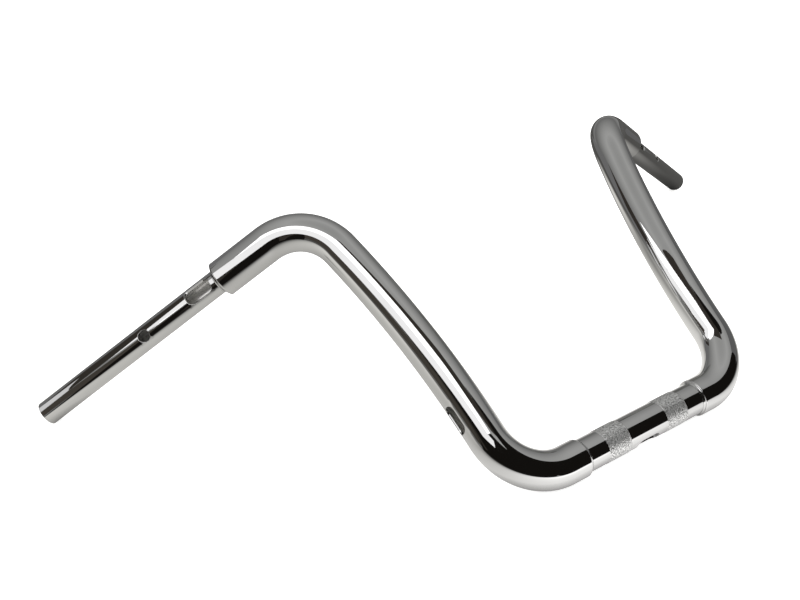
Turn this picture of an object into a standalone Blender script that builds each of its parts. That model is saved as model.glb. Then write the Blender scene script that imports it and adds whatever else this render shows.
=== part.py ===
"""Fat-tube motorcycle handlebar: two bent riser tubes, a stepped-down clamp tube and two grip tubes.

The bar is worked out in its own upright frame (X across, risers going up, grips pulled back
towards +Y) and then leaned over about the clamp axis until it rests on a table on the clamp
end of its risers and on both grip ends. The origin is the middle of the clamp axis.
+X is the rider's left.
"""

import math

import bmesh
import bpy
from mathutils import Matrix, Vector

COLLECTION = "fat_tube_handlebar"

# Tubes
RISER_TUBE_DIAMETER = 0.0381
RISER_TUBE_WALL = 0.0021
GRIP_TUBE_DIAMETER = 0.0254
GRIP_TUBE_WALL = 0.0024
CLAMP_TUBE_WALL = 0.0030
FIT_GAP = 0.0003

# Route of one half, from the middle of the clamp to the grip end
CLAMP_WIDTH = 0.156
BEND_LEAD_IN = 0.0175
LOWER_BEND_RADIUS = 0.05715
UPPER_BEND_RADIUS = 0.05715
RISER_LENGTH = 0.231
RISER_LEAN_LOW = math.radians(2.0)
RISER_LEAN_HIGH = math.radians(14.5)
RISER_TAIL = 0.058
GRIP_PULLBACK = math.radians(37.5)
GRIP_DROP = math.radians(4.0)
GRIP_LENGTH = 0.227

# Joints between the tubes
SPIGOT_TIP_CLEARANCE = 0.0015
BUSH_DEPTH = 0.030
GRIP_TUBE_STOP = 0.002
NOSE_LENGTH = 0.0036
WELD_LEG = 0.0014
LIP_SHARE_OF_WALL = 0.55
END_EDGE_BREAK = 0.0006
FILLET_SAG = 0.4

# Wiring openings: every slot is cut with the same punch
SLOT_LENGTH = 0.0295
SLOT_WIDTH = 0.0160
SLOT_CORNER_RADIUS = 0.0065
GRIP_SLOT_START = 0.0085
GRIP_HOLE_DIAMETER = 0.0127
GRIP_HOLE_DISTANCE = 0.0937
GRIP_HOLE_DROP = math.radians(12.0)
RISER_SLOT_START = 0.0135
RISER_SLOT_TURN = math.radians(5.0)

# Knurled clamping bands
KNURL_CENTRE = 0.0392
KNURL_WIDTH = 0.0285
KNURL_RISE = 0.0002

# Facets
TUBE_BEVEL_RESOLUTION = 10
TUBE_SIDES = 2 * TUBE_BEVEL_RESOLUTION + 4
BEND_STEPS = 11
RISER_STEPS = 5
CUTTER_OVERRUN = 0.005

CHROME = ((0.80, 0.81, 0.82, 1.0), 0.07, 1.0)
KNURLED_CHROME = ((0.62, 0.63, 0.64, 1.0), 0.32, 1.0)
WELD_CHROME = ((0.86, 0.86, 0.86, 1.0), 0.12, 1.0)

RISER_TUBE_RADIUS = RISER_TUBE_DIAMETER / 2
RISER_BORE_RADIUS = RISER_TUBE_RADIUS - RISER_TUBE_WALL
GRIP_TUBE_RADIUS = GRIP_TUBE_DIAMETER / 2
CLAMP_TUBE_RADIUS = RISER_BORE_RADIUS - FIT_GAP
HALF_CLAMP = CLAMP_WIDTH / 2
RISER_BOW_RADIUS = RISER_LENGTH / (RISER_LEAN_HIGH - RISER_LEAN_LOW)


# ---------------------------------------------------------------- route

def bend(start, tangent, new_tangent, radius, steps):
    """Points of a circular bend from one direction to another, without its first point."""
    angle = tangent.angle(new_tangent)
    inward = (new_tangent - tangent * tangent.dot(new_tangent)).normalized()
    points = []
    for step in range(1, steps + 1):
        turned = angle * step / steps
        points.append(start + radius * (math.sin(turned) * tangent + (1 - math.cos(turned)) * inward))
    return points


def route():
    """Left half of the bar in its upright frame: riser tube points, grip start and directions."""
    across = Vector((1.0, 0.0, 0.0))
    low = Vector((math.sin(RISER_LEAN_LOW), 0.0, math.cos(RISER_LEAN_LOW)))
    high = Vector((math.sin(RISER_LEAN_HIGH), 0.0, math.cos(RISER_LEAN_HIGH)))
    level = Vector((math.cos(GRIP_PULLBACK), math.sin(GRIP_PULLBACK), 0.0))
    grip = (level * math.cos(GRIP_DROP) - Vector((0, 0, 1)) * math.sin(GRIP_DROP)).normalized()

    points = [across * HALF_CLAMP, across * (HALF_CLAMP + BEND_LEAD_IN)]
    points += bend(points[-1], across, low, LOWER_BEND_RADIUS, BEND_STEPS)
    riser_start = points[-1]
    points += bend(points[-1], low, high, RISER_BOW_RADIUS, RISER_STEPS)
    points += bend(points[-1], high, grip, UPPER_BEND_RADIUS, BEND_STEPS)
    points.append(points[-1] + grip * RISER_TAIL)
    return points, riser_start, grip


def resting_tilt(grip_start, grip):
    """Angle about X at which the grip ends and the clamp end of the risers touch one plane."""
    end = grip_start + grip * GRIP_LENGTH

    def gap(tilt):
        lean = Matrix.Rotation(-tilt, 3, "X")
        direction = lean @ grip
        lowest = (lean @ end).z - GRIP_TUBE_RADIUS * math.sqrt(1 - direction.z ** 2)
        return lowest + RISER_TUBE_RADIUS

    low, high = 0.0, math.radians(90.0)
    for _ in range(60):
        middle = (low + high) / 2
        if gap(middle) > 0:
            low = middle
        else:
            high = middle
    return (low + high) / 2


POINTS, RISER_START, GRIP_DIRECTION = route()
GRIP_START = POINTS[-1]
TILT = resting_tilt(GRIP_START, GRIP_DIRECTION)
LEAN = Matrix.Rotation(-TILT, 4, "X")


def placed(vector, side):
    """A point or direction of the left half, moved to a side and leaned into the resting pose."""
    return LEAN.to_3x3() @ Vector((vector.x * side, vector.y, vector.z))


def frame_at(origin, axis, outward):
    """Matrix with local Z along an axis and local X in the outward direction."""
    z = axis.normalized()
    x = (outward - z * outward.dot(z)).normalized()
    y = z.cross(x)
    rotation = Matrix((x, y, z)).transposed().to_4x4()
    return Matrix.Translation(origin) @ rotation


# ---------------------------------------------------------------- scene helpers

def clear_scene():
    for old in list(bpy.data.objects):
        bpy.data.objects.remove(old, do_unlink=True)
    for name in (COLLECTION, "cutters"):
        old = bpy.data.collections.get(name)
        if old:
            bpy.data.collections.remove(old)


def new_collection(name):
    collection = bpy.data.collections.new(name)
    bpy.context.scene.collection.children.link(collection)
    return collection


def material(name, recipe):
    found = bpy.data.materials.get(name)
    if found:
        return found
    colour, roughness, metallic = recipe
    made = bpy.data.materials.new(name)
    made.use_nodes = True
    shader = made.node_tree.nodes["Principled BSDF"]
    shader.inputs["Base Color"].default_value = colour
    shader.inputs["Roughness"].default_value = roughness
    shader.inputs["Metallic"].default_value = metallic
    made.diffuse_color = colour
    return made


def mesh_object(name, mesh, collection, finish=None):
    made = bpy.data.objects.new(name, mesh)
    collection.objects.link(made)
    if finish:
        mesh.materials.clear()
        mesh.materials.append(finish)
        mesh.shade_smooth()
        mesh.set_sharp_from_angle(angle=math.radians(35))
    else:
        made.hide_render = True
        made.display_type = "WIRE"
    return made


def bmesh_object(name, bm, collection, finish=None):
    mesh = bpy.data.meshes.new(name)
    bm.to_mesh(mesh)
    bm.free()
    return mesh_object(name, mesh, collection, finish)


def cut(target, cutter):
    modifier = target.modifiers.new(cutter.name, "BOOLEAN")
    modifier.operation = "DIFFERENCE"
    modifier.solver = "EXACT"
    modifier.object = cutter


# ---------------------------------------------------------------- shapes

def swept_tube_mesh(name, points, radius):
    """Mesh of a round rod along straight runs between points, with welded end caps."""
    curve = bpy.data.curves.new(name, "CURVE")
    curve.dimensions = "3D"
    curve.bevel_depth = radius
    curve.bevel_resolution = TUBE_BEVEL_RESOLUTION
    curve.use_fill_caps = True
    spline = curve.splines.new("POLY")
    spline.points.add(len(points) - 1)
    for control, point in zip(spline.points, points):
        control.co = (*point, 1.0)
    rod = bpy.data.objects.new(name, curve)
    bpy.context.scene.collection.objects.link(rod)
    evaluated = rod.evaluated_get(bpy.context.evaluated_depsgraph_get())
    mesh = bpy.data.meshes.new_from_object(evaluated)
    mesh.transform(rod.matrix_world)
    bpy.data.objects.remove(rod, do_unlink=True)
    bpy.data.curves.remove(curve)
    mesh.name = name
    bm = bmesh.new()
    bm.from_mesh(mesh)
    bmesh.ops.remove_doubles(bm, verts=bm.verts, dist=0.00001)
    bmesh.ops.recalc_face_normals(bm, faces=bm.faces)
    bm.to_mesh(mesh)
    bm.free()
    return mesh


def round_rod_ends(mesh, radius):
    """Rounds the edges of a rod's two flat caps."""
    bm = bmesh.new()
    bm.from_mesh(mesh)
    caps = [face for face in bm.faces if len(face.verts) == TUBE_SIDES]
    edges = list({edge for face in caps for edge in face.edges})
    bmesh.ops.bevel(bm, geom=edges, offset=radius, segments=2, profile=0.5, affect="EDGES")
    bm.to_mesh(mesh)
    bm.free()


def turned(name, profile, matrix, collection, finish):
    """A closed profile of (radius, height) points turned about local Z, outer side top to bottom."""
    bm = bmesh.new()
    corners = [bm.verts.new((radius, 0.0, height)) for radius, height in profile]
    for corner, following in zip(corners, corners[1:] + corners[:1]):
        bm.edges.new((corner, following))
    made = bmesh_object(name, bm, collection, finish)
    made.matrix_world = matrix
    screw = made.modifiers.new("turn", "SCREW")
    screw.axis = "Z"
    screw.steps = TUBE_SIDES
    screw.render_steps = TUBE_SIDES
    screw.use_merge_vertices = True
    screw.merge_threshold = 0.00001
    screw.use_smooth_shade = True
    return made


def slot_punch(name, matrix, depth, collection):
    """A block with rounded corners: long side on local Z, depth on local X, starting at the origin."""
    bm = bmesh.new()
    bmesh.ops.create_cube(bm, size=1.0)
    bmesh.ops.scale(bm, vec=(depth, SLOT_WIDTH, SLOT_LENGTH), verts=bm.verts)
    through = [e for e in bm.edges if abs((e.verts[0].co - e.verts[1].co).x) > depth / 2]
    bmesh.ops.bevel(
        bm, geom=through, offset=SLOT_CORNER_RADIUS, segments=4, profile=0.5, affect="EDGES"
    )
    bmesh.ops.translate(bm, vec=(depth / 2, 0.0, 0.0), verts=bm.verts)
    made = bmesh_object(name, bm, collection)
    made.matrix_world = matrix
    return made


def hole_cutter(name, matrix, radius, depth, collection):
    """A drill along local X, starting at the origin."""
    bm = bmesh.new()
    upright = Matrix.Rotation(math.radians(90), 4, "Y")
    shift = Matrix.Translation((depth / 2, 0.0, 0.0))
    bmesh.ops.create_cone(
        bm, cap_ends=True, segments=20, radius1=radius, radius2=radius, depth=depth, matrix=shift @ upright
    )
    made = bmesh_object(name, bm, collection)
    made.matrix_world = matrix
    return made


# ---------------------------------------------------------------- pieces

def clamp_tube(parts, cutters, finish):
    """Centre tube with two knurled bands, spigots into both risers and a wiring slot underneath."""
    outer = CLAMP_TUBE_RADIUS
    inner = outer - CLAMP_TUBE_WALL
    half = HALF_CLAMP + BEND_LEAD_IN - SPIGOT_TIP_CLEARANCE
    knurl_in = KNURL_CENTRE - KNURL_WIDTH / 2
    knurl_out = KNURL_CENTRE + KNURL_WIDTH / 2
    left_half = [
        (outer - END_EDGE_BREAK, half),
        (outer, half - END_EDGE_BREAK),
        (outer, knurl_out),
        (outer + KNURL_RISE, knurl_out - KNURL_RISE),
        (outer + KNURL_RISE, knurl_in + KNURL_RISE),
        (outer, knurl_in),
    ]
    outside = left_half + [(radius, -height) for radius, height in reversed(left_half)]
    profile = outside + [(inner, -half), (inner, half)]
    along_x = frame_at(Vector((0, 0, 0)), Vector((1, 0, 0)), Vector((0, 0, 1)))
    tube = turned("centre_clamp_tube", profile, along_x, parts, finish)
    slot_at = frame_at(Vector((0, 0, 0)), Vector((1, 0, 0)), placed(Vector((0, 0, -1)), 1))
    cut(tube, slot_punch("clamp_slot", slot_at, outer + CUTTER_OVERRUN, cutters))


def riser_tube(prefix, side, parts, cutters, finish):
    """Bent fat tube, open right through, with a wiring slot on its outer side near the lower bend."""
    name = prefix + "_riser_tube"
    points = [placed(point, side) for point in POINTS]
    rod = swept_tube_mesh(name, points, RISER_TUBE_RADIUS)
    round_rod_ends(rod, RISER_TUBE_WALL * LIP_SHARE_OF_WALL)
    tube = mesh_object(name, rod, parts, finish)

    first = points[0] + (points[0] - points[1]).normalized() * CUTTER_OVERRUN
    last = points[-1] + (points[-1] - points[-2]).normalized() * CUTTER_OVERRUN
    bore_points = [first] + points[1:-1] + [last]
    bore = mesh_object(name + "_bore", swept_tube_mesh(name + "_bore", bore_points, RISER_BORE_RADIUS), cutters)
    cut(tube, bore)

    distance = RISER_SLOT_START + SLOT_LENGTH / 2
    low = Vector((math.sin(RISER_LEAN_LOW), 0.0, math.cos(RISER_LEAN_LOW)))
    outward = Vector((math.cos(RISER_LEAN_LOW), 0.0, -math.sin(RISER_LEAN_LOW)))
    turn = distance / RISER_BOW_RADIUS
    middle = RISER_START + RISER_BOW_RADIUS * (math.sin(turn) * low + (1 - math.cos(turn)) * outward)
    along = low * math.cos(turn) + outward * math.sin(turn)
    sideways = outward * math.cos(turn) - low * math.sin(turn)
    facing = sideways * math.cos(RISER_SLOT_TURN) + Vector((0, math.sin(RISER_SLOT_TURN), 0))
    slot_at = frame_at(placed(middle, side), placed(along, side), placed(facing, side))
    cut(tube, slot_punch(name + "_slot", slot_at, RISER_TUBE_RADIUS + CUTTER_OVERRUN, cutters))


def clamp_weld(prefix, side, parts, finish):
    """Fillet weld between the end of a riser tube and the clamp tube."""
    inner = CLAMP_TUBE_RADIUS + FIT_GAP
    outer = RISER_TUBE_RADIUS - RISER_TUBE_WALL * LIP_SHARE_OF_WALL
    leg = WELD_LEG + outer - inner
    profile = [
        (outer, -FIT_GAP),
        (inner + (outer - inner) * FILLET_SAG, -FIT_GAP - leg * FILLET_SAG),
        (inner, -FIT_GAP - leg),
        (inner, -FIT_GAP),
    ]
    axis = Vector((side, 0, 0))
    at = frame_at(axis * HALF_CLAMP, axis, Vector((0, 0, 1)))
    turned(prefix + "_clamp_weld", profile, at, parts, finish)


def grip_frame(side):
    """Local Z out along the grip, local X facing forward, origin where the riser tube ends."""
    forward = Vector((0, -1, 0))
    return frame_at(placed(GRIP_START, side), placed(GRIP_DIRECTION, side), placed(forward, side))


def grip_bush(prefix, side, parts, finish):
    """Reducing bush pressed into the riser tube: a straight body and a short conical nose."""
    outer = RISER_BORE_RADIUS - FIT_GAP
    inner = GRIP_TUBE_RADIUS + FIT_GAP
    face = inner + WELD_LEG
    profile = [
        (face, NOSE_LENGTH - WELD_LEG),
        (outer, RISER_TUBE_WALL * (1 - LIP_SHARE_OF_WALL)),
        (outer, END_EDGE_BREAK - BUSH_DEPTH),
        (outer - END_EDGE_BREAK, -BUSH_DEPTH),
        (inner, -BUSH_DEPTH),
        (inner, NOSE_LENGTH - WELD_LEG),
    ]
    turned(prefix + "_grip_bush", profile, grip_frame(side), parts, finish)


def grip_weld(prefix, side, parts, finish):
    """Fillet weld between the nose of a bush and the grip tube."""
    inner = GRIP_TUBE_RADIUS + FIT_GAP
    base = NOSE_LENGTH - WELD_LEG + FIT_GAP
    profile = [
        (inner, base + WELD_LEG),
        (inner + WELD_LEG * FILLET_SAG, base + WELD_LEG * FILLET_SAG),
        (inner + WELD_LEG, base),
        (inner, base),
    ]
    turned(prefix + "_grip_weld", profile, grip_frame(side), parts, finish)


def grip_tube(prefix, side, parts, cutters, finish):
    """Thin end tube for the grip, with a wiring slot beside the step and a round wiring hole."""
    name = prefix + "_grip_tube"
    outer = GRIP_TUBE_RADIUS
    inner = outer - GRIP_TUBE_WALL
    start = GRIP_TUBE_STOP - BUSH_DEPTH
    profile = [
        (outer - END_EDGE_BREAK, GRIP_LENGTH),
        (outer, GRIP_LENGTH - END_EDGE_BREAK),
        (outer, start),
        (inner, start),
        (inner, GRIP_LENGTH),
    ]
    at = grip_frame(side)
    tube = turned(name, profile, at, parts, finish)
    depth = outer + CUTTER_OVERRUN
    slot_at = at @ Matrix.Translation((0, 0, GRIP_SLOT_START + SLOT_LENGTH / 2))
    cut(tube, slot_punch(name + "_slot", slot_at, depth, cutters))
    roll = Matrix.Rotation(GRIP_HOLE_DROP * side, 4, "Z")
    hole_at = at @ Matrix.Translation((0, 0, GRIP_HOLE_DISTANCE)) @ roll
    cut(tube, hole_cutter(name + "_hole", hole_at, GRIP_HOLE_DIAMETER / 2, depth, cutters))


def main():
    clear_scene()
    parts = new_collection(COLLECTION)
    cutters = new_collection("cutters")
    chrome = material("chrome", CHROME)
    knurled = material("knurled_chrome", KNURLED_CHROME)
    weld = material("weld_chrome", WELD_CHROME)

    clamp_tube(parts, cutters, knurled)
    for prefix, side in (("left", 1), ("right", -1)):
        riser_tube(prefix, side, parts, cutters, chrome)
        clamp_weld(prefix, side, parts, weld)
        grip_bush(prefix, side, parts, chrome)
        grip_weld(prefix, side, parts, weld)
        grip_tube(prefix, side, parts, cutters, chrome)
    bpy.context.view_layer.update()


main()
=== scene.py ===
"""Polished look of a fat-tube motorcycle handlebar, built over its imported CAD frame.

Each tube wall starts as a flat sheet, as long as the tube and as wide as its girth. The wiring
openings are let into the sheet, it gets the wall's thickness and softened edges, and it is then
rolled up along the tube's centre line. The handlebar leans on a table on the clamp end of its
risers and on both grip ends; +X is the rider's left and the origin is the middle of the clamp.
"""

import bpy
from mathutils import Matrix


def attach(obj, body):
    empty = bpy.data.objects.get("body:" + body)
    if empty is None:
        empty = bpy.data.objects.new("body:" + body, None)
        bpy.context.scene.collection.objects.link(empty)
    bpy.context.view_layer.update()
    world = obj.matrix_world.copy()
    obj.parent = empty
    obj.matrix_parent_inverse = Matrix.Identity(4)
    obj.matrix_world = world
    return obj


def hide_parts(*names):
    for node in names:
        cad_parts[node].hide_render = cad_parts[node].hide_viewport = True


bl_info = {
    "name": "Fat-tube handlebar",
    "version": (1, 0, 0),
    "blender": (4, 5, 0),
    "location": "3D View > Sidebar > Handlebar",
    "description": "Builds the chromed tubes of a motorcycle handlebar and the studio around them",
    "category": "Object",
}

import math

import bmesh
import bpy
from mathutils import Matrix, Vector

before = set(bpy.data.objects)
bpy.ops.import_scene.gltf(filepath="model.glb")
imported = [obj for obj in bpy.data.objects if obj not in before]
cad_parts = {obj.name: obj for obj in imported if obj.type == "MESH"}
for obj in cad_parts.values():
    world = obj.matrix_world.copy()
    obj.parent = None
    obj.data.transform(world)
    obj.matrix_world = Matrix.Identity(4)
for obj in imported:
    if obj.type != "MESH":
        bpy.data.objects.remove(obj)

MM = 0.001
BODY = "root"
SIDES = {"left": 1.0, "right": -1.0}

# Cell sizes of the flat sheets, and steps round a turned ring and across a fillet
CLAMP_CELL = 1.3 * MM
RISER_CELL = 1.25 * MM
GRIP_CELL = 0.9 * MM
KNURL_CELL = 0.38 * MM
RING_STEPS = 128
FILLET_STEPS = 8
# Halvings in the search for the lean
HALVINGS = 60
# Vertices closer than this are one vertex
MERGE = 0.002 * MM
# Each opening's ring of cells is this many rim radii wide
RING_RIMS = 2.5


# ---------------------------------------------------------------- settings

def length(name, description, default):
    return bpy.props.FloatProperty(name=name, description=description, default=default, unit="LENGTH")


def angle(name, description, degrees):
    return bpy.props.FloatProperty(
        name=name, description=description, default=math.radians(degrees), subtype="ANGLE"
    )


def hex_to_linear(code):
    """An sRGB colour, written as a number sign and six digits, as linear red, green and blue."""
    values = [int(code[i:i + 2], 16) / 255.0 for i in (1, 3, 5)]
    return tuple(v / 12.92 if v <= 0.04045 else ((v + 0.055) / 1.055) ** 2.4 for v in values)


def colour(name, description, code):
    return bpy.props.FloatVectorProperty(
        name=name, description=description, default=hex_to_linear(code), subtype="COLOR",
        size=3, min=0.0, max=1.0,
    )


class HandlebarSizes(bpy.types.PropertyGroup):
    riser_diameter: length("Riser tube diameter", "Outside of the fat tube", 38.1 * MM)
    riser_wall: length("Riser tube wall", "Thickness of the fat tube's wall", 2.1 * MM)
    grip_diameter: length("Grip tube diameter", "Outside of the tube that carries the grip", 25.4 * MM)
    grip_wall: length("Grip tube wall", "Thickness of the grip tube's wall", 2.4 * MM)
    clamp_diameter: length("Clamp tube diameter", "Outside of the middle tube", 33.3 * MM)
    clamp_wall: length("Clamp tube wall", "Thickness of the middle tube's wall", 3.0 * MM)
    clamp_width: length("Clamp width", "Distance between the two fat tubes", 156.0 * MM)
    lead_in: length("Bend lead-in", "Straight fat tube before the lower bend", 17.5 * MM)
    bend_radius: length("Bend radius", "Centre-line radius of every bend", 57.15 * MM)
    riser_length: length("Riser length", "Bowed run between the two bends", 231.0 * MM)
    lean_low: angle("Lean below", "Outward lean of the riser at its foot", 2.0)
    lean_high: angle("Lean above", "Outward lean of the riser at its top", 14.5)
    tail: length("Riser tail", "Straight fat tube after the upper bend", 58.0 * MM)
    pullback: angle("Pull-back", "How far the grips sweep to the rear", 37.5)
    drop: angle("Drop", "How far the grips fall towards their ends", 4.0)
    grip_length: length("Grip length", "Grip tube outside the step", 227.0 * MM)
    spigot_clearance: length("Spigot clearance", "Clamp tube short of the bend", 1.5 * MM)
    bush_depth: length("Bush depth", "Reducing bush inside the fat tube", 30.0 * MM)
    nose_length: length("Nose length", "Cone and weld at the step", 3.6 * MM)
    weld_leg: length("Weld leg", "Size of each fillet weld", 1.4 * MM)
    lip_radius: length("Lip radius", "Rounding at both ends of the fat tube", 1.15 * MM)
    slot_length: length("Slot length", "Length of every wiring slot", 29.5 * MM)
    slot_width: length("Slot width", "Width of every wiring slot, measured straight across", 16.0 * MM)
    slot_corner: length("Slot corner", "Corner radius of every wiring slot", 6.5 * MM)
    grip_slot_start: length("Grip slot start", "From the step to the grip tube's slot", 8.5 * MM)
    riser_slot_start: length("Riser slot start", "From the lower bend to the fat tube's slot", 13.5 * MM)
    riser_slot_turn: angle("Riser slot turn", "Turn of the fat tube's slot round the tube", 5.0)
    hole_place: length("Hole place", "From the step to the middle of the grip tube's hole", 93.7 * MM)
    hole_diameter: length("Hole diameter", "Round wiring hole in the grip tube", 12.7 * MM)
    hole_turn: angle("Hole turn", "Turn of the hole round the grip tube", 12.0)
    end_radius: length("End radius", "Rounding at the ends of the clamp and grip tubes", 0.6 * MM)
    bush_stop: length("Bush stop", "Grip tube short of the inner end of its bush", 2.0 * MM)
    rim_radius: length("Rim radius", "Softened edge of the slots and holes", 0.35 * MM)
    riser_rim_radius: length("Riser rim radius", "Rounder edge of the fat tube's slot", 1.0 * MM)
    knurl_centre: length("Knurl centre", "Middle of a knurled band from the middle of the bar", 39.2 * MM)
    knurl_width: length("Knurl width", "Width of a knurled band", 28.5 * MM)
    knurl_pitch: length("Knurl pitch", "Spacing of the knurl's grooves", 1.9 * MM)
    knurl_height: length("Knurl height", "Height of the knurl's points", 0.35 * MM)


class HandlebarFinish(bpy.types.PropertyGroup):
    chrome: colour("Chrome", "Bright chromium plate", "#CACAC8")
    chrome_shadow: colour("Chrome, thin plate", "Plate where it is thinner and greyer", "#C3C3C1")
    bore: colour("Bore", "Inside of the tubes, under a thin grey plate", "#EAEAE8")
    bore_stain: colour("Bore stain", "Brownish stain on the inside", "#CBC8C2")
    knurl_dark: colour("Knurl ground", "Grooves of the knurl, which polishing doesn't reach", "#868684")
    knurl_light: colour("Knurl points", "Polished points of the knurl", "#F6F6F4")
    table: colour("Table", "Pale table top", "#F4F4F3")
    roughness: bpy.props.FloatProperty(
        name="Haze", description="Roughness of the polished plate", default=0.025, min=0.0, max=1.0
    )


class HandlebarStudio(bpy.types.PropertyGroup):
    camera_place: bpy.props.FloatVectorProperty(
        name="Camera", description="Where the camera stands", default=(-0.6202, -0.4936, 0.6289),
        subtype="TRANSLATION", unit="LENGTH",
    )
    camera_azimuth: angle("Azimuth", "Turn of the view to the right of straight ahead", 34.53)
    camera_fall: angle("Fall", "How far the view looks down", 32.28)
    camera_roll: angle("Roll", "Roll of the camera about its view", -0.60)
    lens: bpy.props.FloatProperty(name="Lens", description="Focal length", default=44.95, unit="CAMERA")
    table_glow: bpy.props.FloatProperty(
        name="Table glow", description="Light that comes through the table's white sheet", default=0.7,
        min=0.0,
    )
    wall_light: bpy.props.FloatProperty(
        name="Wall light", description="Brightness of the pale walls", default=1.25, min=0.0
    )


# ---------------------------------------------------------------- centre lines

class Stretch:
    """A straight or evenly bent run of a tube's centre line, with a frame of out, across and along."""

    def __init__(self, start, axes, reach, bend_axis=None, radius=0.0):
        self.start = start
        self.axes = axes
        self.reach = reach
        self.bend_axis = bend_axis
        self.radius = radius

    def at(self, distance):
        along = self.axes.col[2]
        if self.bend_axis is None:
            return self.start + along * distance, self.axes
        turn = Matrix.Rotation(distance / self.radius, 3, self.bend_axis)
        centre = self.start + self.bend_axis.cross(along) * self.radius
        return centre + turn @ (self.start - centre), turn @ self.axes

    def end(self):
        return self.at(self.reach)


def axes_along(along, out):
    """Columns out, across and along, square to each other."""
    z = along.normalized()
    x = (out - z * out.dot(z)).normalized()
    return Matrix((x, z.cross(x), z)).transposed()


def bent(last, towards, radius):
    """The bend that turns the end of a stretch to a new direction."""
    start, axes = last.end()
    along = axes.col[2]
    return Stretch(start, axes, radius * along.angle(towards), along.cross(towards).normalized(), radius)


def straight(last, reach):
    start, axes = last.end()
    return Stretch(start, axes, reach)


def leaned(angle_low):
    return Vector((math.sin(angle_low), 0.0, math.cos(angle_low)))


def grip_direction(sizes):
    level = Vector((math.cos(sizes.pullback), math.sin(sizes.pullback), 0.0))
    return (level * math.cos(sizes.drop) - Vector((0.0, 0.0, math.sin(sizes.drop)))).normalized()


def riser_line(sizes):
    """Centre line of the left fat tube in the upright bar, from its clamp end."""
    line = [Stretch(Vector((sizes.clamp_width / 2, 0.0, 0.0)),
                    axes_along(Vector((1.0, 0.0, 0.0)), Vector((0.0, 0.0, -1.0))), sizes.lead_in)]
    line.append(bent(line[-1], leaned(sizes.lean_low), sizes.bend_radius))
    bow = sizes.riser_length / (sizes.lean_high - sizes.lean_low)
    line.append(bent(line[-1], leaned(sizes.lean_high), bow))
    line.append(bent(line[-1], grip_direction(sizes), sizes.bend_radius))
    line.append(straight(line[-1], sizes.tail))
    return line


def grip_start(sizes):
    return riser_line(sizes)[-1].end()[0]


def grip_axes(sizes):
    return axes_along(grip_direction(sizes), Vector((0.0, -1.0, 0.0)))


def clamp_line(sizes):
    half = sizes.clamp_width / 2 + sizes.lead_in - sizes.spigot_clearance
    axes = axes_along(Vector((1.0, 0.0, 0.0)), Vector((0.0, 0.0, -1.0)))
    return [Stretch(Vector((-half, 0.0, 0.0)), axes, 2 * half)]


def table_lean(sizes):
    """The lean about the clamp that brings the fat tubes and both grip ends down to one table."""
    end = grip_start(sizes) + grip_direction(sizes) * sizes.grip_length
    low, high = 0.0, math.radians(90.0)
    for _ in range(HALVINGS):
        middle = (low + high) / 2
        lean = Matrix.Rotation(-middle, 3, "X")
        down = (lean @ grip_direction(sizes)).z
        lowest = (lean @ end).z - sizes.grip_diameter / 2 * math.sqrt(1 - down ** 2)
        if lowest + sizes.riser_diameter / 2 > 0:
            low = middle
        else:
            high = middle
    return Matrix.Rotation(-(low + high) / 2, 4, "X")


def placed(bm, sizes, side):
    """Moves a piece of the upright left half to its side and leans it onto the table."""
    mirror = Matrix.Diagonal((side, 1.0, 1.0, 1.0))
    bmesh.ops.transform(bm, matrix=table_lean(sizes) @ mirror, verts=bm.verts)
    bmesh.ops.recalc_face_normals(bm, faces=bm.faces)


# ---------------------------------------------------------------- tube walls

class Opening:
    """A slot or hole through a wall: place along and around, size, corner radius."""

    def __init__(self, along, around, reach, width, corner):
        """Sizes are measured on the unrolled wall."""
        self.centre = Vector((along, around))
        self.half = Vector((reach / 2, width / 2))
        self.corner = corner

    def holds(self, point, margin):
        apart = Vector((abs(point.x - self.centre.x), abs(point.y - self.centre.y)))
        return apart.x < self.half.x + margin and apart.y < self.half.y + margin

    def outline(self, point):
        """The nearest point of the rounded outline."""
        core_x = self.half.x - self.corner
        core_y = self.half.y - self.corner
        x = point.x - self.centre.x
        y = point.y - self.centre.y
        nearest = Vector((max(-core_x, min(core_x, x)), max(-core_y, min(core_y, y))))
        away = (Vector((x, y)) - nearest).normalized() * self.corner
        return self.centre + nearest + away


def wiring_slot(sizes, start, turn, radius):
    """The punched slot on a tube of some radius, from its near end, turned round the tube."""
    width = 2 * radius * math.asin(sizes.slot_width / (2 * radius))
    return Opening(start + sizes.slot_length / 2, turn * radius, sizes.slot_length, width,
                   sizes.slot_corner)


def flat_sheet(reach, girth, cell):
    """A sheet of nearly square cells from x = 0 to its reach, centred on y = 0."""
    bm = bmesh.new()
    rows = round(reach / cell)
    columns = 4 * round(girth / cell / 4)
    bmesh.ops.create_grid(bm, x_segments=rows, y_segments=columns, size=0.5)
    bmesh.ops.scale(bm, vec=(reach, girth, 1.0), verts=bm.verts)
    bmesh.ops.translate(bm, vec=(reach / 2, 0.0, 0.0), verts=bm.verts)
    return bm


def let_in(bm, opening, margin):
    """Cuts an opening with an even ring of cells around it."""
    nearby = 3 * margin
    gone = [f for f in bm.faces if opening.holds(f.calc_center_median(), margin)]
    bmesh.ops.delete(bm, geom=gone, context="FACES")
    rim = [e for e in bm.edges if e.is_boundary
           and all(opening.holds(v.co, nearby) for v in e.verts)]
    ring = bmesh.ops.extrude_edge_only(bm, edges=rim)["geom"]
    for corner in [g for g in ring if isinstance(g, bmesh.types.BMVert)]:
        target = opening.outline(corner.co)
        corner.co = (target.x, target.y, 0.0)


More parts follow.
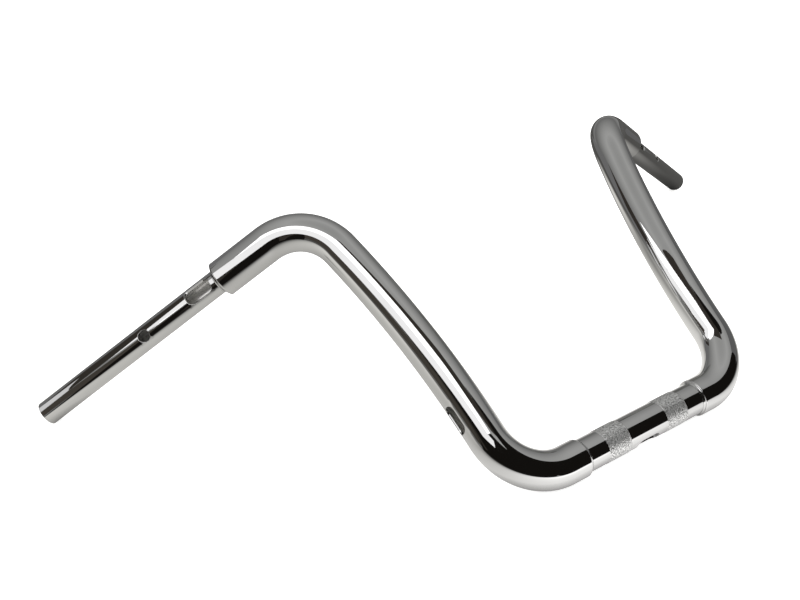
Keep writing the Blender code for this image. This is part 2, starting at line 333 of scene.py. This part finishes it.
def thicken(bm, reach, girth, wall, end_radius, rim_radius):
    """Gives a sheet its wall below z = 0, drops the seam faces and softens the edges."""
    skin = list(bm.faces)
    made = bmesh.ops.extrude_face_region(bm, geom=skin, use_keep_orig=True)["geom"]
    lower = [g for g in made if isinstance(g, bmesh.types.BMVert)]
    bmesh.ops.translate(bm, vec=(0.0, 0.0, -wall), verts=lower)
    tiny = 0.01 * wall
    seam = [f for f in bm.faces if all(abs(abs(v.co.y) - girth / 2) < tiny for v in f.verts)]
    bmesh.ops.delete(bm, geom=seam, context="FACES_ONLY")
    bm.normal_update()

    def edge_loop(height, at_end):
        found = []
        for edge in bm.edges:
            if any(abs(v.co.z - height) > tiny for v in edge.verts) or len(edge.link_faces) != 2:
                continue
            if min(abs(f.normal.z) for f in edge.link_faces) > 0.5:
                continue
            ends = all(v.co.x < tiny or v.co.x > reach - tiny for v in edge.verts)
            if ends == at_end:
                found.append(edge)
        return found

    inner_end = 0.15 * wall
    inner_rim = 0.1 * wall
    for height, at_end, radius in ((0.0, True, end_radius), (0.0, False, rim_radius),
                                   (-wall, True, inner_end), (-wall, False, inner_rim)):
        bmesh.ops.bevel(bm, geom=edge_loop(height, at_end), offset=radius, offset_type="OFFSET",
                        segments=5, profile=0.5, affect="EDGES", material=-1)


def wall_map(bm):
    """A map in metres, along and around the sheet, for patterns that follow the wall."""
    layer = bm.loops.layers.uv.new("wall")
    for face in bm.faces:
        for loop in face.loops:
            loop[layer].uv = (loop.vert.co.x, loop.vert.co.y)


def roll_up(bm, line, radius):
    """Rolls a sheet round a centre line, so that z = 0 becomes the outer surface."""
    for vert in bm.verts:
        distance = vert.co.x
        for stretch in line:
            if distance <= stretch.reach or stretch is line[-1]:
                break
            distance -= stretch.reach
        point, axes = stretch.at(distance)
        turn = vert.co.y / radius
        outward = axes.col[0] * math.cos(turn) + axes.col[1] * math.sin(turn)
        vert.co = point + outward * (radius + vert.co.z)
    bmesh.ops.remove_doubles(bm, verts=bm.verts, dist=MERGE)


def line_length(line):
    return sum(stretch.reach for stretch in line)


def tube(line, radius, wall, cell, openings, end_radius, rim_radius):
    """A finished wall round a centre line; faces of the bore take the second material."""
    reach = line_length(line)
    girth = 2 * math.pi * radius
    bm = flat_sheet(reach, girth, cell)
    for opening in openings:
        let_in(bm, opening, RING_RIMS * rim_radius)
    thicken(bm, reach, girth, wall, end_radius, rim_radius)
    bore_below = -0.95 * wall
    for face in bm.faces:
        if all(v.co.z < bore_below for v in face.verts):
            face.material_index = 1
    wall_map(bm)
    roll_up(bm, line, radius)
    return bm


# ---------------------------------------------------------------- turned rings

def turned(profile, origin, axes):
    """A closed profile of (radius, height) turned round a centre line's direction."""
    bm = bmesh.new()
    corners = [bm.verts.new((radius, 0.0, height)) for radius, height in profile]
    edges = [bm.edges.new((a, b)) for a, b in zip(corners, corners[1:] + corners[:1])]
    bmesh.ops.spin(
        bm, geom=corners + edges, cent=(0.0, 0.0, 0.0), axis=(0.0, 0.0, 1.0), dvec=(0.0, 0.0, 0.0),
        angle=2 * math.pi, steps=RING_STEPS, use_merge=True, use_duplicate=False,
    )
    bmesh.ops.remove_doubles(bm, verts=bm.verts, dist=MERGE)
    layer = bm.loops.layers.uv.new("wall")
    for face in bm.faces:
        middle = face.calc_center_median()
        base = math.atan2(middle.y, middle.x)
        for loop in face.loops:
            turn = math.atan2(loop.vert.co.y, loop.vert.co.x)
            turn += 2 * math.pi * round((base - turn) / (2 * math.pi))
            radius = math.hypot(loop.vert.co.x, loop.vert.co.y)
            loop[layer].uv = (loop.vert.co.z, turn * radius)
    bmesh.ops.transform(bm, matrix=Matrix.Translation(origin) @ axes.to_4x4(), verts=bm.verts)
    return bm


def hollow_arc(start, end, sag):
    """Points from start to end that sag towards the corner between them; 1 is a full arc."""
    points = []
    for step in range(FILLET_STEPS + 1):
        share = step / FILLET_STEPS
        turn = math.pi / 2 * share
        arc = (start[0] + (end[0] - start[0]) * math.sin(turn),
               start[1] + (end[1] - start[1]) * (1 - math.cos(turn)))
        line = (start[0] + (end[0] - start[0]) * share,
                start[1] + (end[1] - start[1]) * share)
        points.append(tuple(sag * a + (1 - sag) * b for a, b in zip(arc, line)))
    return points


# ---------------------------------------------------------------- finishes

def add_node(tree, kind, settings=None, inputs=None):
    """Adds a node, sets its own settings, then sets or links its inputs."""
    node = tree.nodes.new(kind)
    for key, value in (settings or {}).items():
        setattr(node, key, value)
    for key, value in (inputs or {}).items():
        if isinstance(value, bpy.types.NodeSocket):
            tree.links.new(value, node.inputs[key])
        else:
            node.inputs[key].default_value = value
    return node


def new_material(name):
    material = bpy.data.materials.new(name)
    material.use_nodes = True
    material.node_tree.nodes.clear()
    return material, material.node_tree


def finish_material(tree, shader, normal=None):
    if normal is not None:
        tree.links.new(normal.outputs["Normal"], shader.inputs["Normal"])
    output = add_node(tree, "ShaderNodeOutputMaterial")
    tree.links.new(shader.outputs[0], output.inputs["Surface"])


def polished_chrome(finish):
    """Decorative chromium on polished steel: a mirror with a faint roll from the polishing belt."""
    material, tree = new_material("polished_chrome_plate")
    place = add_node(tree, "ShaderNodeTexCoord")
    where = place.outputs["Object"]
    roll = add_node(tree, "ShaderNodeTexNoise", {"noise_dimensions": "3D"},
                    {"Vector": where, "Scale": 1 / (22 * MM), "Detail": 1.0, "Roughness": 0.4})
    wear = add_node(tree, "ShaderNodeTexNoise", {},
                    {"Vector": where, "Scale": 1 / (3 * MM), "Detail": 4.0, "Roughness": 0.6})
    plate = add_node(tree, "ShaderNodeMix", {"data_type": "RGBA"},
                     {"Factor": roll.outputs["Fac"], "A": (*finish.chrome, 1.0),
                      "B": (*finish.chrome_shadow, 1.0)})
    haze = add_node(tree, "ShaderNodeMapRange", {},
                    {"Value": wear.outputs["Fac"], "From Min": 0.35, "From Max": 0.75,
                     "To Min": finish.roughness * 0.7, "To Max": finish.roughness * 1.6})
    bump = add_node(tree, "ShaderNodeBump", {},
                    {"Strength": 1.0, "Distance": 0.02 * MM, "Height": roll.outputs["Fac"]})
    shader = add_node(tree, "ShaderNodeBsdfPrincipled", {},
                      {"Base Color": plate.outputs["Result"], "Metallic": 1.0,
                       "Roughness": haze.outputs["Result"]})
    finish_material(tree, shader, bump)
    return material


def drawn_bore(finish):
    """Inside of drawn tube: thin satin plate with streaks along the tube and a little brown stain."""
    material, tree = new_material("drawn_steel_bore")
    place = add_node(tree, "ShaderNodeUVMap", {"uv_map": "wall"})
    stretched = add_node(tree, "ShaderNodeMapping", {},
                         {"Vector": place.outputs["UV"], "Scale": (1 / (40 * MM), 1 / (1.2 * MM), 1.0)})
    streaks = add_node(tree, "ShaderNodeTexNoise", {},
                       {"Vector": stretched.outputs["Vector"], "Scale": 1.0, "Detail": 5.0})
    steel = add_node(tree, "ShaderNodeMix", {"data_type": "RGBA"},
                     {"Factor": streaks.outputs["Fac"], "A": (*finish.bore, 1.0),
                      "B": (*finish.bore_stain, 1.0)})
    bump = add_node(tree, "ShaderNodeBump", {},
                    {"Strength": 0.4, "Distance": 0.05 * MM, "Height": streaks.outputs["Fac"]})
    shader = add_node(tree, "ShaderNodeBsdfPrincipled", {},
                      {"Base Color": steel.outputs["Result"], "Metallic": 0.6, "Roughness": 0.18})
    finish_material(tree, shader, bump)
    return material


def plated_knurl(finish):
    """Chrome over pressed knurling: bright points on a grey, scattered ground."""
    material, tree = new_material("chrome_over_knurling")
    place = add_node(tree, "ShaderNodeUVMap", {"uv_map": "wall"})
    grit = add_node(tree, "ShaderNodeTexNoise", {},
                    {"Vector": place.outputs["UV"], "Scale": 1 / (1.7 * MM), "Detail": 2.0,
                     "Roughness": 0.6})
    spread = add_node(tree, "ShaderNodeMapRange", {},
                      {"Value": grit.outputs["Fac"], "From Min": 0.37, "From Max": 0.63})
    plate = add_node(tree, "ShaderNodeMix", {"data_type": "RGBA"},
                     {"Factor": spread.outputs["Result"], "A": (*finish.knurl_dark, 1.0),
                      "B": (*finish.knurl_light, 1.0)})
    haze = add_node(tree, "ShaderNodeMapRange", {},
                    {"Value": spread.outputs["Result"], "To Min": 0.45, "To Max": 0.2})
    bump = add_node(tree, "ShaderNodeBump", {},
                    {"Strength": 1.0, "Distance": 0.75 * MM, "Height": grit.outputs["Fac"]})
    shader = add_node(tree, "ShaderNodeBsdfPrincipled", {},
                      {"Base Color": plate.outputs["Result"], "Metallic": 0.85,
                       "Roughness": haze.outputs["Result"]})
    finish_material(tree, shader, bump)
    return material


def plated_weld(finish):
    """Chrome over a dressed fillet weld: soft ripples across the bead."""
    material, tree = new_material("chrome_over_weld")
    place = add_node(tree, "ShaderNodeUVMap", {"uv_map": "wall"})
    ripple = add_node(tree, "ShaderNodeTexNoise", {},
                      {"Vector": place.outputs["UV"], "Scale": 1 / (2.5 * MM), "Detail": 2.0})
    plate = add_node(tree, "ShaderNodeMix", {"data_type": "RGBA"},
                     {"Factor": ripple.outputs["Fac"], "A": (*finish.chrome, 1.0),
                      "B": (*finish.chrome_shadow, 1.0)})
    bump = add_node(tree, "ShaderNodeBump", {},
                    {"Strength": 0.5, "Distance": 0.12 * MM, "Height": ripple.outputs["Fac"]})
    shader = add_node(tree, "ShaderNodeBsdfPrincipled", {},
                      {"Base Color": plate.outputs["Result"], "Metallic": 1.0, "Roughness": 0.12})
    finish_material(tree, shader, bump)
    return material


def finishes():
    """The handlebar's four finishes, made once."""
    settings = bpy.context.scene.handlebar_finish
    makers = {
        "polished_chrome_plate": polished_chrome,
        "drawn_steel_bore": drawn_bore,
        "chrome_over_knurling": plated_knurl,
        "chrome_over_weld": plated_weld,
    }
    return {name: bpy.data.materials.get(name) or make(settings) for name, make in makers.items()}


def piece(name, bm, materials, node):
    """Turns a bmesh into an object that stands for a CAD node."""
    mesh = bpy.data.meshes.new(name)
    bm.to_mesh(mesh)
    bm.free()
    for material in materials:
        mesh.materials.append(material)
    mesh.shade_smooth()
    made = bpy.data.objects.new(name, mesh)
    crisp = made.modifiers.new("crisp_rims", "WEIGHTED_NORMAL")
    crisp.weight = 100
    bpy.context.scene.collection.objects.link(made)
    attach(made, BODY)
    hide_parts(node)
    return made


# ---------------------------------------------------------------- operators

class BuildClamp(bpy.types.Operator):
    """Middle tube with two knurled bands and a wiring slot underneath"""

    bl_idname = "handlebar.clamp"
    bl_label = "Clamp tube"

    # The knurl fades out over this length at both edges of a band
    FADE = 0.6 * MM
    # Height of the knurl's grooves, as a share of its points'
    GROUND = 0.15

    def execute(self, context):
        sizes = context.scene.handlebar_sizes
        look = finishes()
        line = clamp_line(sizes)
        half = line_length(line) / 2
        radius = sizes.clamp_diameter / 2
        slot = wiring_slot(sizes, half - sizes.slot_length / 2, 0.0, radius)
        bm = tube(line, radius, sizes.clamp_wall, CLAMP_CELL, [slot], sizes.end_radius,
                  sizes.rim_radius)
        for middle in (half - sizes.knurl_centre, half + sizes.knurl_centre):
            self.add_band(bm, sizes, line, radius, middle)
        placed(bm, sizes, 1.0)
        piece("clamp_tube_polished", bm,
              [look["polished_chrome_plate"], look["drawn_steel_bore"], look["chrome_over_knurling"]],
              "centre_clamp_tube")
        return {"FINISHED"}

    def add_band(self, bm, sizes, line, radius, middle):
        """Rolls a finely divided sheet of diamond points onto the tube."""
        girth = 2 * math.pi * radius
        grooves = round(girth / sizes.knurl_pitch)
        width = sizes.knurl_width
        band = flat_sheet(width, girth, KNURL_CELL)
        for vert in band.verts:
            around = vert.co.y / girth * grooves
            along = vert.co.x / sizes.knurl_pitch
            ridge = abs(math.sin(math.pi * (around + along))) * abs(math.sin(math.pi * (around - along)))
            edge = min(1.0, vert.co.x / self.FADE, (width - vert.co.x) / self.FADE)
            vert.co.z = sizes.knurl_height * (self.GROUND + ridge) * edge
        bmesh.ops.translate(band, vec=(middle - width / 2, 0.0, 0.0), verts=band.verts)
        for face in band.faces:
            face.material_index = 2
        wall_map(band)
        roll_up(band, line, radius)
        bmesh.ops.recalc_face_normals(band, faces=band.faces)
        spare = bpy.data.meshes.new("band")
        band.to_mesh(spare)
        band.free()
        bm.from_mesh(spare)
        bpy.data.meshes.remove(spare)


class BuildRisers(bpy.types.Operator):
    """Two bent fat tubes, each with a wiring slot on its outer side"""

    bl_idname = "handlebar.risers"
    bl_label = "Riser tubes"

    def execute(self, context):
        sizes = context.scene.handlebar_sizes
        look = finishes()
        line = riser_line(sizes)
        start = sizes.lead_in + line[1].reach + sizes.riser_slot_start
        radius = sizes.riser_diameter / 2
        slot = wiring_slot(sizes, start, sizes.riser_slot_turn, radius)
        for name, side in SIDES.items():
            bm = tube(line, radius, sizes.riser_wall, RISER_CELL, [slot], sizes.lip_radius,
                      sizes.riser_rim_radius)
            placed(bm, sizes, side)
            piece(name + "_riser_polished", bm,
                  [look["polished_chrome_plate"], look["drawn_steel_bore"]],
                  name + "_riser_tube")
        return {"FINISHED"}


class BuildGrips(bpy.types.Operator):
    """Two straight grip tubes, each with a wiring slot and a round wiring hole"""

    bl_idname = "handlebar.grips"
    bl_label = "Grip tubes"

    def execute(self, context):
        sizes = context.scene.handlebar_sizes
        look = finishes()
        inside = sizes.bush_depth - sizes.bush_stop
        axes = grip_axes(sizes)
        line = [Stretch(grip_start(sizes) - axes.col[2] * inside, axes, inside + sizes.grip_length)]
        radius = sizes.grip_diameter / 2
        slot = wiring_slot(sizes, inside + sizes.grip_slot_start, 0.0, radius)
        hole = Opening(inside + sizes.hole_place, sizes.hole_turn * radius, sizes.hole_diameter,
                       sizes.hole_diameter, sizes.hole_diameter / 2)
        for name, side in SIDES.items():
            bm = tube(line, radius, sizes.grip_wall, GRIP_CELL, [slot, hole], sizes.end_radius,
                      sizes.rim_radius)
            placed(bm, sizes, side)
            piece(name + "_grip_polished", bm,
                  [look["polished_chrome_plate"], look["drawn_steel_bore"]],
                  name + "_grip_tube")
        return {"FINISHED"}


class BuildBushes(bpy.types.Operator):
    """Reducing bushes in the riser tubes, with a short conical nose"""

    bl_idname = "handlebar.bushes"
    bl_label = "Reducing bushes"

    # Hair's breadth between the bush and both tubes, and between its flange and the fat tube's end
    GAP = 0.03 * MM
    SEAT = 0.04 * MM
    # Dulled edge of the nose, and the small foot where its cone meets the fat tube
    NOSE_EDGE = 0.2 * MM
    FOOT_WIDTH = 0.1 * MM
    FOOT_HEIGHT = 0.25 * MM
    SHARP_FROM = math.radians(50.0)

    def execute(self, context):
        sizes = context.scene.handlebar_sizes
        look = finishes()
        outer = sizes.riser_diameter / 2 - sizes.riser_wall - self.GAP
        inner = sizes.grip_diameter / 2 + self.GAP
        foot = sizes.riser_diameter / 2 - sizes.lip_radius
        face = sizes.grip_diameter / 2 + sizes.weld_leg
        top = sizes.nose_length - sizes.weld_leg
        profile = [
            (inner, top),
            (face, top),
            (face + self.NOSE_EDGE, top - self.NOSE_EDGE / 4),
            (foot - self.FOOT_WIDTH, self.FOOT_HEIGHT),
            (foot, self.SEAT),
            (outer, self.SEAT),
            (outer, sizes.end_radius - sizes.bush_depth),
            (outer - sizes.end_radius, -sizes.bush_depth),
            (inner, -sizes.bush_depth),
        ]
        for name, side in SIDES.items():
            bm = turned(profile, grip_start(sizes), grip_axes(sizes))
            placed(bm, sizes, side)
            made = piece(name + "_bush_polished", bm, [look["polished_chrome_plate"]],
                         name + "_grip_bush")
            made.data.set_sharp_from_angle(angle=self.SHARP_FROM)
        return {"FINISHED"}


class BuildWelds(bpy.types.Operator):
    """Fillet welds where the tubes meet, at the clamp and at the grips"""

    bl_idname = "handlebar.welds"
    bl_label = "Fillet welds"

    # Hair's breadth between a weld and its tube
    GAP = 0.02 * MM
    # Leg of the grip welds as a share of the weld leg, and how hollow both kinds of weld are
    GRIP_LEG = 1.15
    GRIP_SAG = 0.75
    CLAMP_SAG = 0.7

    def execute(self, context):
        sizes = context.scene.handlebar_sizes
        look = finishes()
        weld = [look["chrome_over_weld"]]
        grip_radius = sizes.grip_diameter / 2 + self.GAP
        base = sizes.nose_length - sizes.weld_leg + self.GAP / 2
        leg = self.GRIP_LEG * sizes.weld_leg
        arc = hollow_arc((grip_radius + leg, base),
                         (grip_radius, base + leg), self.GRIP_SAG)
        for name, side in SIDES.items():
            bm = turned(arc + [(grip_radius, base)], grip_start(sizes), grip_axes(sizes))
            placed(bm, sizes, side)
            piece(name + "_grip_fillet", bm, weld, name + "_grip_weld")

        clamp_radius = sizes.clamp_diameter / 2 + self.GAP
        lip = sizes.riser_diameter / 2 - sizes.lip_radius
        leg = sizes.weld_leg + lip - clamp_radius
        arc = hollow_arc((lip, 0.0), (clamp_radius, -leg), self.CLAMP_SAG)
        start, axes = riser_line(sizes)[0].at(0.0)
        for name, side in SIDES.items():
            bm = turned(arc + [(clamp_radius, 0.0)], start, axes)
            placed(bm, sizes, side)
            piece(name + "_clamp_fillet", bm, weld, name + "_clamp_weld")
        return {"FINISHED"}


# ---------------------------------------------------------------- studio

class BuildStudio(bpy.types.Operator):
    """Pale table, soft boxes, dark flags and the camera"""

    bl_idname = "handlebar.studio"
    bl_label = "Studio"

    # Flat panels round the bar, in degrees and metres: azimuth, elevation, distance, width,
    # height, roll, brightness
    PANELS = {
        "soft_box": (-110.0, 45.0, 0.70, 0.80, 0.40, 25.0, 2.6),
        "small_soft_box": (-65.0, 3.0, 0.75, 0.20, 0.15, 0.0, 1.0),
        "strip_light": (-105.0, 33.0, 0.60, 0.80, 0.20, 15.0, 1.5),
        "flag_by_camera": (-145.0, 18.0, 0.65, 1.15, 1.00, -15.0, 0.01),
        "flag_front_right": (152.0, 14.0, 0.60, 0.75, 1.10, 30.0, 0.01),
        "flag_below_box": (-95.0, 10.0, 1.10, 0.60, 0.35, 5.0, 0.08),
        "flag_beside_box": (-58.0, 16.0, 0.80, 0.45, 0.30, 5.0, 0.05),
        "flag_above_box": (-165.0, 67.0, 0.85, 0.60, 0.25, 0.0, 0.05),
        "flag_edge": (-100.0, 20.0, 0.65, 0.05, 0.50, 35.0, 0.05),
        "grey_card": (95.0, 6.0, 0.75, 0.75, 0.40, -20.0, 0.17),
        "grey_card_behind": (-18.0, -4.0, 0.75, 1.10, 0.45, 25.0, 0.23),
    }
    # Pools of light on the table, as the tubes mirror it, in metres: x, y, reach, brightness
    FRONT_POOL = (0.00, -0.25, 0.50, 1.80)
    POOLS = (
        (-0.30, 0.20, 0.50, 0.65),
        (0.20, 0.15, 0.30, 0.85),
        (-0.80, 0.35, 0.55, 0.95),
        (0.40, 0.15, 0.20, 0.75),
        (0.10, 0.45, 0.20, 0.95),
    )
    # Brightness of the table between the pools
    POOL_GROUND = 0.12
    # The front pool is neutral; the rest of the table is a little warmer
    COOL_TINT = (1.0, 0.99, 1.0, 1.0)
    WARM_TINT = (1.0, 0.985, 0.955, 1.0)
    # The tubes darken the table that they touch
    CONTACT_REACH = 0.03
    # Panels darker than the limit are brownish flags; the others are neutral
    FLAG_LIMIT = 0.1
    FLAG_TINT = (1.0, 0.88, 0.76, 1.0)
    BOX_TINT = (0.98, 0.975, 1.0, 1.0)
    # Brightness of the tent's cloth by elevation in degrees
    TENT = ((0.0, 0.30), (10.0, 0.20), (30.0, 0.35), (60.0, 0.55), (90.0, 0.45))
    TENT_MIDDLE = Vector((0.0, 0.15, 0.08))
    TENT_RADIUS = 3.0
    # The table reaches this far from the bar; the lit one lies just above the paper
    TABLE_REACH = 6.0
    LIT_ABOVE = 0.1 * MM

    def execute(self, context):
        studio = context.scene.handlebar_studio
        finish = context.scene.handlebar_finish
        sizes = context.scene.handlebar_sizes
        context.scene.view_settings.view_transform = "Standard"
        self.table(finish, studio, -sizes.riser_diameter / 2)
        self.mirrored_table(-sizes.riser_diameter / 2)
        self.tent()
        for name, panel in self.PANELS.items():
            self.panel(name, *panel)
        self.world(context.scene, studio)
        self.camera(context.scene, studio)
        return {"FINISHED"}

    def stage_mesh(self, name, bm, material):
        mesh = bpy.data.meshes.new(name)
        bm.to_mesh(mesh)
        bm.free()
        mesh.materials.append(material)
        made = bpy.data.objects.new(name, mesh)
        bpy.context.scene.collection.objects.link(made)
        return made

    def only_mirrored(self, made):
        made.visible_camera = False
        made.visible_diffuse = False
        made.visible_shadow = False

    def table(self, finish, studio, height):
        """Matt white sheet, lit softly from below; the tubes mirror the lit table instead."""
        bm = bmesh.new()
        bmesh.ops.create_grid(bm, x_segments=1, y_segments=1, size=self.TABLE_REACH)
        bmesh.ops.translate(bm, vec=(0.0, 0.0, height), verts=bm.verts)
        material, tree = new_material("matt_paper")
        place = add_node(tree, "ShaderNodeTexCoord")
        grain = add_node(tree, "ShaderNodeTexNoise", {},
                         {"Vector": place.outputs["Object"], "Scale": 1 / (2 * MM), "Detail": 2.0})
        tone = add_node(tree, "ShaderNodeMix", {"data_type": "RGBA"},
                        {"Factor": grain.outputs["Fac"], "A": (*finish.table, 1.0),
                         "B": (*(0.98 * c for c in finish.table), 1.0)})
        shader = add_node(tree, "ShaderNodeBsdfPrincipled", {},
                          {"Base Color": tone.outputs["Result"], "Roughness": 0.9,
                           "Specular IOR Level": 0.1, "Emission Color": tone.outputs["Result"],
                           "Emission Strength": studio.table_glow})
        finish_material(tree, shader)
        self.stage_mesh("table", bm, material).visible_glossy = False

    def pool(self, tree, height, x, y, reach, brightness):
        """The glow of one pool of light on the table, which fades out at its reach."""
        place = add_node(tree, "ShaderNodeTexCoord").outputs["Object"]
        apart = add_node(tree, "ShaderNodeVectorMath", {"operation": "DISTANCE"},
                         {0: place, 1: (x, y, height)})
        glow = add_node(tree, "ShaderNodeMapRange", {"interpolation_type": "SMOOTHSTEP"},
                        {"Value": apart.outputs["Value"], "From Min": reach, "From Max": 0.0,
                         "To Min": 0.0, "To Max": brightness})
        return glow.outputs["Result"]

    def mirrored_table(self, height):
        """The same table top with the soft pools of light that polished metal picks up."""
        bm = bmesh.new()
        bmesh.ops.create_grid(bm, x_segments=1, y_segments=1, size=self.TABLE_REACH)
        bmesh.ops.translate(bm, vec=(0.0, 0.0, height + self.LIT_ABOVE), verts=bm.verts)
        material, tree = new_material("lit_table")
        cool = self.pool(tree, height, *self.FRONT_POOL)
        warm = self.POOL_GROUND
        for pool in self.POOLS:
            warm = add_node(tree, "ShaderNodeMath", {"operation": "ADD"},
                            {0: self.pool(tree, height, *pool), 1: warm}).outputs[0]
        contact = add_node(tree, "ShaderNodeAmbientOcclusion", {"samples": 8},
                           {"Distance": self.CONTACT_REACH})
        glows = []
        for tint, light in ((self.COOL_TINT, cool), (self.WARM_TINT, warm)):
            shaded = add_node(tree, "ShaderNodeMath", {"operation": "MULTIPLY"},
                              {0: light, 1: contact.outputs["AO"]})
            glows.append(add_node(tree, "ShaderNodeEmission", {},
                                  {"Color": tint, "Strength": shaded.outputs[0]}).outputs[0])
        both = add_node(tree, "ShaderNodeAddShader", {}, {0: glows[0], 1: glows[1]})
        finish_material(tree, both)
        self.only_mirrored(self.stage_mesh("lit_table", bm, material))

    def tent(self):
        """A cloth dome round the bar, brighter overhead than at its foot."""
        bm = bmesh.new()
        bmesh.ops.create_uvsphere(bm, u_segments=64, v_segments=32, radius=self.TENT_RADIUS)
        bmesh.ops.translate(bm, vec=self.TENT_MIDDLE, verts=bm.verts)
        bmesh.ops.reverse_faces(bm, faces=bm.faces)
        material, tree = new_material("tent_cloth")
        place = add_node(tree, "ShaderNodeTexCoord").outputs["Object"]
        away = add_node(tree, "ShaderNodeVectorMath", {"operation": "SUBTRACT"},
                        {0: place, 1: self.TENT_MIDDLE})
        unit = add_node(tree, "ShaderNodeVectorMath", {"operation": "NORMALIZE"},
                        {0: away.outputs["Vector"]})
        height = add_node(tree, "ShaderNodeSeparateXYZ", {}, {0: unit.outputs["Vector"]})
        ramp = add_node(tree, "ShaderNodeValToRGB", {}, {"Fac": height.outputs["Z"]})
        stops = ramp.color_ramp.elements
        while len(stops) < len(self.TENT):
            stops.new(1.0)
        for stop, (elevation, brightness) in zip(stops, self.TENT):
            stop.position = math.sin(math.radians(elevation))
            stop.color = (brightness, brightness, brightness, 1.0)
        glow = add_node(tree, "ShaderNodeEmission", {}, {"Color": ramp.outputs["Color"]})
        finish_material(tree, glow)
        self.only_mirrored(self.stage_mesh("tent", bm, material))

    def panel(self, name, azimuth, elevation, distance, width, height, roll, brightness):
        """A flat panel that faces the bar and shows only in the polished metal."""
        bm = bmesh.new()
        bmesh.ops.create_grid(bm, x_segments=1, y_segments=1, size=0.5)
        bmesh.ops.scale(bm, vec=(width, height, 1.0), verts=bm.verts)
        spin = Matrix.Rotation(math.radians(roll), 4, "Z")
        a, e = math.radians(azimuth), math.radians(elevation)
        away = Vector((math.sin(a) * math.cos(e), math.cos(a) * math.cos(e), math.sin(e)))
        turn = away.to_track_quat("Z", "Y").to_matrix().to_4x4()
        middle = Matrix.Translation(self.TENT_MIDDLE + away * distance)
        bmesh.ops.transform(bm, matrix=middle @ turn @ spin, verts=bm.verts)
        material, tree = new_material(name)
        tint = self.FLAG_TINT if brightness < self.FLAG_LIMIT else self.BOX_TINT
        glow = add_node(tree, "ShaderNodeEmission", {}, {"Color": tint, "Strength": brightness})
        finish_material(tree, glow)
        self.only_mirrored(self.stage_mesh(name, bm, material))

    def world(self, scene, studio):
        """Even pale walls, which light the paper softly from everywhere."""
        world = bpy.data.worlds.new("pale_walls")
        world.use_nodes = True
        tree = world.node_tree
        tree.nodes.clear()
        back = add_node(tree, "ShaderNodeBackground", {},
                        {"Color": (1.0, 1.0, 1.0, 1.0), "Strength": studio.wall_light})
        output = add_node(tree, "ShaderNodeOutputWorld")
        tree.links.new(back.outputs[0], output.inputs["Surface"])
        scene.world = world

    def camera(self, scene, studio):
        data = bpy.data.cameras.new("camera")
        data.lens = studio.lens
        data.sensor_width = 36.0
        made = bpy.data.objects.new("camera", data)
        turn = (Matrix.Rotation(-studio.camera_azimuth, 4, "Z")
                @ Matrix.Rotation(math.radians(90.0) - studio.camera_fall, 4, "X")
                @ Matrix.Rotation(studio.camera_roll, 4, "Z"))
        made.matrix_world = Matrix.Translation(studio.camera_place) @ turn
        scene.collection.objects.link(made)
        scene.camera = made


class HandlebarPanel(bpy.types.Panel):
    """Lists the pieces of the handlebar and its studio"""

    bl_idname = "VIEW3D_PT_handlebar"
    bl_label = "Handlebar"
    bl_space_type = "VIEW_3D"
    bl_region_type = "UI"
    bl_category = "Handlebar"

    def draw(self, context):
        scene = context.scene
        for operator in OPERATORS:
            self.layout.operator(operator.bl_idname)
        for group in (scene.handlebar_sizes, scene.handlebar_finish, scene.handlebar_studio):
            box = self.layout.box()
            for key in group.bl_rna.properties.keys():
                if key not in ("rna_type", "name"):
                    box.prop(group, key)


OPERATORS = (BuildClamp, BuildRisers, BuildGrips, BuildBushes, BuildWelds, BuildStudio)
GROUPS = {
    "handlebar_sizes": HandlebarSizes,
    "handlebar_finish": HandlebarFinish,
    "handlebar_studio": HandlebarStudio,
}


def register():
    for made in (*GROUPS.values(), *OPERATORS, HandlebarPanel):
        bpy.utils.register_class(made)
    for name, group in GROUPS.items():
        setattr(bpy.types.Scene, name, bpy.props.PointerProperty(type=group))


def unregister():
    for name in GROUPS:
        delattr(bpy.types.Scene, name)
    for made in (HandlebarPanel, *reversed(OPERATORS), *GROUPS.values()):
        bpy.utils.unregister_class(made)


def main():
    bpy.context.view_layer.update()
    register()
    bpy.ops.handlebar.clamp()
    bpy.ops.handlebar.risers()
    bpy.ops.handlebar.grips()
    bpy.ops.handlebar.bushes()
    bpy.ops.handlebar.welds()
    bpy.ops.handlebar.studio()


if __name__ == "__main__":
    main()
